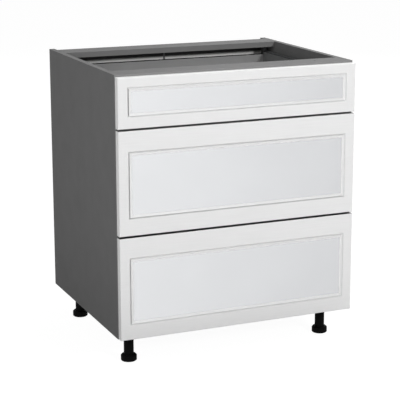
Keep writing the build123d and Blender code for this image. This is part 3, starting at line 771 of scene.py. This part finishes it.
class CABINET_OT_plastics(bpy.types.Operator):
    """Mould the legs, feet, drawer connectors and bumper pads"""

    bl_idname = "cabinet.plastics"
    bl_label = "Legs, connectors and pads"

    def execute(self, context):
        colours = context.scene.cabinet_colours
        legs = [f"{kind}_{corner}" for kind in ("leg", "foot") for corner in CORNERS]
        clothe(legs, moulded_plastic("moulded_black_polypropylene", colours.leg_plastic, 0.7, 1.2))
        clothe([f"rear_connectors_{n}" for n in DRAWERS],
               moulded_plastic("moulded_dark_grey_abs", colours.fitting_plastic, 0.45, 1.0))
        clothe(["bumpers"], soft_pad())
        return {"FINISHED"}


class CABINET_OT_drawer_screws(bpy.types.Operator):
    """Screw the drawer boards to their sides and connectors"""

    bl_idname = "cabinet.drawer_screws"
    bl_label = "Drawer screws"

    def execute(self, context):
        sizes = context.scene.cabinet_hardware
        plate = bpy.data.materials["zinc_plated_rolled_steel"]
        head = screw_head(sizes.head_radius, sizes.head_height)
        tab_set_in, flange_set_out, flange_pitch = 6 * MM, 8 * MM, 160 * MM
        for n in DRAWERS:
            rear_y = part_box(f"rear_connectors_{n}")[1].y
            side_low, side_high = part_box(f"drawer_side_{n}_right")
            tab_x, flange_x = side_low.x - tab_set_in, side_low.x + flange_set_out
            middle = (side_low.y + side_high.y) / 2
            places = []
            for sign in (-1, 1):
                for rise, turn in ((32 * MM, 0.3), (62 * MM, 1.1)):
                    spot = (sign * tab_x, rear_y, side_low.z + rise)
                    places.append((spot, (0, 1, 0), turn))
                for step, turn in ((-1, 0.2), (0, 0.9), (1, 1.4)):
                    spot = (sign * flange_x, middle + step * flange_pitch, side_low.z)
                    places.append((spot, (0, 0, -1), turn + sign * 0.2))
            spread(f"drawer_screws_{n}", head, places, plate, f"drawer_{n}")
        return {"FINISHED"}


class CABINET_OT_runner_screws(bpy.types.Operator):
    """Screw the cabinet channels to the side panels, through the middle of each slot"""

    bl_idname = "cabinet.runner_screws"
    bl_label = "Runner screws"

    def execute(self, context):
        sizes = context.scene.cabinet_hardware
        plate = bpy.data.materials["zinc_plated_rolled_steel"]
        head = screw_head(sizes.runner_head_radius, sizes.runner_head_height)
        turns = (0.2, 1.0, 0.6, 1.3)
        for n in DRAWERS:
            low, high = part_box(f"runner_cabinet_{n}")
            pitch, middle = (high.y - low.y) / len(turns), (low.z + high.z) / 2
            places = [((sign * high.x, low.y + pitch * (i + 0.5), middle), (-sign, 0, 0), turn)
                      for sign in (-1, 1) for i, turn in enumerate(turns)]
            spread(f"runner_screws_{n}", head, places, plate, "carcase")
        return {"FINISHED"}


class CABINET_OT_rivets(bpy.types.Operator):
    """Rivet the inner runner profiles to the drawer sides, between the slots"""

    bl_idname = "cabinet.rivets"
    bl_label = "Rivets"

    def execute(self, context):
        plate, head = bpy.data.materials["zinc_plated_rolled_steel"], rivet_head()
        sheet, slots = 1.4 * MM, 4
        for n in DRAWERS:
            low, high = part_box(f"runner_drawer_{n}")
            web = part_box(f"drawer_side_{n}_right")[1].x + sheet
            pitch, middle = (high.y - low.y) / slots, (low.z + high.z) / 2
            places = [((sign * web, low.y + pitch * i, middle), (sign, 0, 0), 0.0)
                      for sign in (-1, 1) for i in range(1, slots)]
            spread(f"runner_rivets_{n}", head, places, plate, f"drawer_{n}")
        return {"FINISHED"}


class CABINET_OT_adjuster_caps(bpy.types.Operator):
    """Set a cap over the front adjuster inside each drawer side"""

    bl_idname = "cabinet.adjuster_caps"
    bl_label = "Adjuster caps"

    def execute(self, context):
        dark, cap = bpy.data.materials["moulded_dark_grey_abs"], adjuster_cap()
        side_thickness, from_front, rise = 12.8 * MM, 34 * MM, 47 * MM
        for n in DRAWERS:
            low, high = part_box(f"drawer_side_{n}_right")
            wall_x = high.x - side_thickness
            places = [((sign * wall_x, low.y + from_front, low.z + rise), (-sign, 0, 0),
                       math.pi / 2) for sign in (-1, 1)]
            spread(f"adjuster_caps_{n}", cap, places, dark, f"drawer_{n}")
        return {"FINISHED"}


class CABINET_OT_studio(bpy.types.Operator):
    """Build the pale floor, the soft light and the camera"""

    bl_idname = "cabinet.studio"
    bl_label = "Studio"

    def execute(self, context):
        scene, studio = context.scene, context.scene.cabinet_studio
        scene.view_settings.view_transform = "Standard"

        floor_half = 60
        sheet = bmesh.new()
        bmesh.ops.create_grid(sheet, x_segments=1, y_segments=1, size=floor_half)
        mesh = bpy.data.meshes.new("floor")
        sheet.to_mesh(mesh)
        sheet.free()
        floor = bpy.data.objects.new("floor", mesh)
        scene.collection.objects.link(floor)
        floor.data.materials.append(self.paper())

        scene.world = bpy.data.worlds.new("studio_sky")
        scene.world.use_nodes = True
        tree = scene.world.node_tree
        tree.nodes.clear()
        light, white = (add(tree, "ShaderNodeBackground", {"Color": (1, 1, 1, 1),
                                                           "Strength": strength})
                        for strength in (studio.sky_strength, 1.0))
        mixed = add(tree, "ShaderNodeMixShader", {0: self.seen_share(tree), 1: light.outputs[0],
                                                  2: white.outputs[0]})
        add(tree, "ShaderNodeOutputWorld", {"Surface": mixed.outputs[0]})

        self.lamp("key_lamp", (1.25, -4.2, 2.1), 0.6, studio.key_power)
        self.lamp("soft_lamp", (-3.2, -3.0, 1.5), 2.0, studio.soft_power)
        self.lamp("top_lamp", (1.2, -0.8, 4.0), 2.0, studio.top_power)
        self.lamp("fill_lamp", (-2.6, -1.3, 1.6), 1.4, studio.fill_power)
        self.lamp("rear_lamp", (2.7, 4.5, 2.4), 2.0, studio.rear_power)

        camera = bpy.data.objects.new("camera", bpy.data.cameras.new("camera"))
        camera.data.sensor_width = 36
        camera.data.lens = studio.lens_mm
        camera.data.shift_x, camera.data.shift_y = studio.lens_shift
        camera.data.clip_end = 200
        camera.location = studio.camera_place
        camera.rotation_euler = studio.camera_turn
        scene.collection.objects.link(camera)
        scene.camera = camera
        return {"FINISHED"}

    def seen_share(self, tree):
        """1 for the rays that show the background: seen straight on, mirrored or through glass."""
        ray = add(tree, "ShaderNodeLightPath").outputs
        seen = ray["Is Camera Ray"]
        for kind in ("Is Glossy Ray", "Is Transmission Ray"):
            seen = add(tree, "ShaderNodeMath", {0: seen, 1: ray[kind]},
                       operation="MAXIMUM").outputs[0]
        return seen

    def paper(self):
        """White studio paper: seen as white that keeps a faint shadow, and otherwise a mild
        bounce."""
        material = bpy.data.materials.new("white_studio_paper")
        material.use_nodes = True
        tree = material.node_tree
        tree.nodes.clear()
        # A dark mat lies round the cabinet, further out at its left, so that little light comes
        # up at its foot. It ends softly, between these two distances from the cabinet.
        mat_shift, mat_end, paper_start = (0.2, 0, 0), 0.1, 0.3
        mat_tone, paper_tone = 0.05, 0.7
        # The white that is seen is mostly a glow of its own, and the rest takes the shadow.
        glow_share, glow_strength = 0.85, 1.13
        place = add(tree, "ShaderNodeTexCoord").outputs["Object"]
        shifted = add(tree, "ShaderNodeVectorMath", {0: place, 1: mat_shift}, operation="ADD")
        away = add(tree, "ShaderNodeVectorMath", {0: shifted.outputs[0]}, operation="ABSOLUTE")
        out = add(tree, "ShaderNodeVectorMath", {0: away.outputs[0], 1: cad_box[1]},
                  operation="SUBTRACT")
        split = add(tree, "ShaderNodeSeparateXYZ", {"Vector": out.outputs[0]})
        reach = add(tree, "ShaderNodeMath", {0: split.outputs["X"], 1: split.outputs["Y"]},
                    operation="MAXIMUM")
        tone = add(tree, "ShaderNodeMapRange", {"Value": reach.outputs[0], "From Min": mat_end,
                                                "From Max": paper_start, "To Min": mat_tone,
                                                "To Max": paper_tone})
        grey = add(tree, "ShaderNodeCombineColor", {channel: tone.outputs[0]
                                                    for channel in range(3)})
        bounce = add(tree, "ShaderNodeBsdfDiffuse", {"Color": grey.outputs[0]})
        shaded = add(tree, "ShaderNodeBsdfDiffuse", {"Color": (1, 1, 1, 1)})
        glow = add(tree, "ShaderNodeEmission", {"Color": (1, 1, 1, 1), "Strength": glow_strength})
        pale = add(tree, "ShaderNodeMixShader", {0: glow_share, 1: shaded.outputs[0],
                                                 2: glow.outputs[0]})
        both = add(tree, "ShaderNodeMixShader", {0: self.seen_share(tree), 1: bounce.outputs[0],
                                                 2: pale.outputs[0]})
        add(tree, "ShaderNodeOutputMaterial", {"Surface": both.outputs[0]})
        return material

    def lamp(self, name, place, size, power):
        """A square soft lamp that faces the middle of the cabinet and isn't seen itself."""
        middle = Vector((0, 0, 0.4))
        lamp = bpy.data.objects.new(name, bpy.data.lights.new(name, "AREA"))
        lamp.data.size = size
        lamp.data.energy = power
        lamp.location = place
        lamp.rotation_euler = (middle - Vector(place)).to_track_quat("-Z", "Y").to_euler()
        lamp.visible_camera = False
        bpy.context.scene.collection.objects.link(lamp)
        return lamp


class CABINET_PT_panel(bpy.types.Panel):
    """Sizes, colours and the steps that dress the cabinet"""

    bl_idname = "CABINET_PT_panel"
    bl_label = "Base cabinet"
    bl_space_type = "VIEW_3D"
    bl_region_type = "UI"
    bl_category = "Cabinet"

    def draw(self, context):
        for group in (context.scene.cabinet_colours, context.scene.cabinet_hardware,
                      context.scene.cabinet_studio):
            box = self.layout.box()
            for name in group.__annotations__:
                box.prop(group, name)
        for step in STEPS:
            self.layout.operator(step.bl_idname)


STEPS = (CABINET_OT_boards, CABINET_OT_back, CABINET_OT_fronts, CABINET_OT_drawer_steel,
         CABINET_OT_zinc_hardware, CABINET_OT_plastics, CABINET_OT_drawer_screws,
         CABINET_OT_runner_screws, CABINET_OT_rivets, CABINET_OT_adjuster_caps, CABINET_OT_studio)
GROUPS = {"cabinet_colours": CabinetColours, "cabinet_hardware": CabinetHardware,
          "cabinet_studio": CabinetStudio}


def register():
    for group in GROUPS.values():
        bpy.utils.register_class(group)
    for name, group in GROUPS.items():
        setattr(bpy.types.Scene, name, PointerProperty(type=group))
    for step in STEPS:
        bpy.utils.register_class(step)
    bpy.utils.register_class(CABINET_PT_panel)


def unregister():
    bpy.utils.unregister_class(CABINET_PT_panel)
    for step in reversed(STEPS):
        bpy.utils.unregister_class(step)
    for name, group in GROUPS.items():
        delattr(bpy.types.Scene, name)
        bpy.utils.unregister_class(group)


def main():
    """Dresses the cabinet step by step."""
    register()
    for step in STEPS:
        area, name = step.bl_idname.split(".")
        getattr(getattr(bpy.ops, area), name)()


if __name__ == "__main__":
    main()
